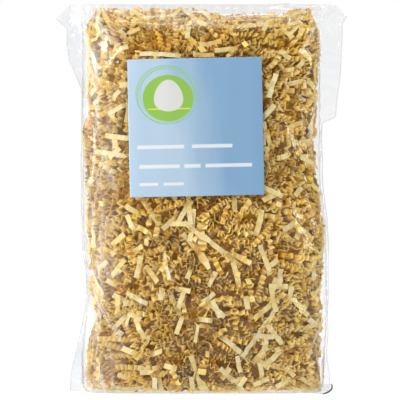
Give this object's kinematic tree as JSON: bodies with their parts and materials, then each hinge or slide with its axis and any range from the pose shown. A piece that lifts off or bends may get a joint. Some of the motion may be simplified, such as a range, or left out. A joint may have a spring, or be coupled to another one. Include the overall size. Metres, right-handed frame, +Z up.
{
  "type": "bag of crinkle-cut paper shred",
  "caption": "Clear film pillow bag packed with pale yellow crinkle-cut paper shred, with a square blue label and a sealed header folded behind.",
  "frame": {"origin": "under the middle of the whole outline, on the surface that the bag stands on", "axes": "+Z up to the header's fold, -Y out of the labelled front, +X to the right as seen from the front"},
  "size_m": [0.1924, 0.0483, 0.2536],
  "materials": {
    "film": "clear glossy polypropylene film",
    "label_paper": "satin printed label",
    "shred": "matte dyed crinkle-cut paper"
  },
  "bodies": {
    "pack": {"film_front": "film", "film_back": "film", "weld_left": "film", "weld_right": "film", "ear_top_left": "film", "ear_top_right": "film", "ear_bottom_left": "film", "ear_bottom_right": "film", "label": "label_paper", "paper_heart": "shred", "strand_01": "shred", "strand_02": "shred", "strand_03": "shred", "strand_04": "shred", "strand_05": "shred", "strand_06": "shred", "strand_07": "shred", "strand_08": "shred", "strand_09": "shred", "strand_10": "shred", "strand_11": "shred", "strand_12": "shred", "strand_13": "shred", "strand_14": "shred", "strand_15": "shred", "strand_16": "shred", "strand_17": "shred", "strand_18": "shred", "strand_19": "shred", "strand_20": "shred", "strand_21": "shred", "strand_22": "shred", "strand_23": "shred", "strand_24": "shred", "strand_25": "shred", "strand_26": "shred", "strand_27": "shred", "strand_28": "shred", "strand_29": "shred", "strand_30": "shred", "strand_31": "shred", "strand_32": "shred", "strand_33": "shred", "strand_34": "shred", "strand_35": "shred", "strand_36": "shred", "strand_37": "shred", "strand_38": "shred", "strand_39": "shred", "strand_40": "shred"},
    "header": {"header": "film"}
  },
  "joints": [
    {"name": "header_fold", "type": "hinge", "parent": "pack", "child": "header", "pos_m": [0.0019, 0.0028, 0.2533], "axis": [1, 0, 0], "range_deg": [0, 150]}
  ]
}
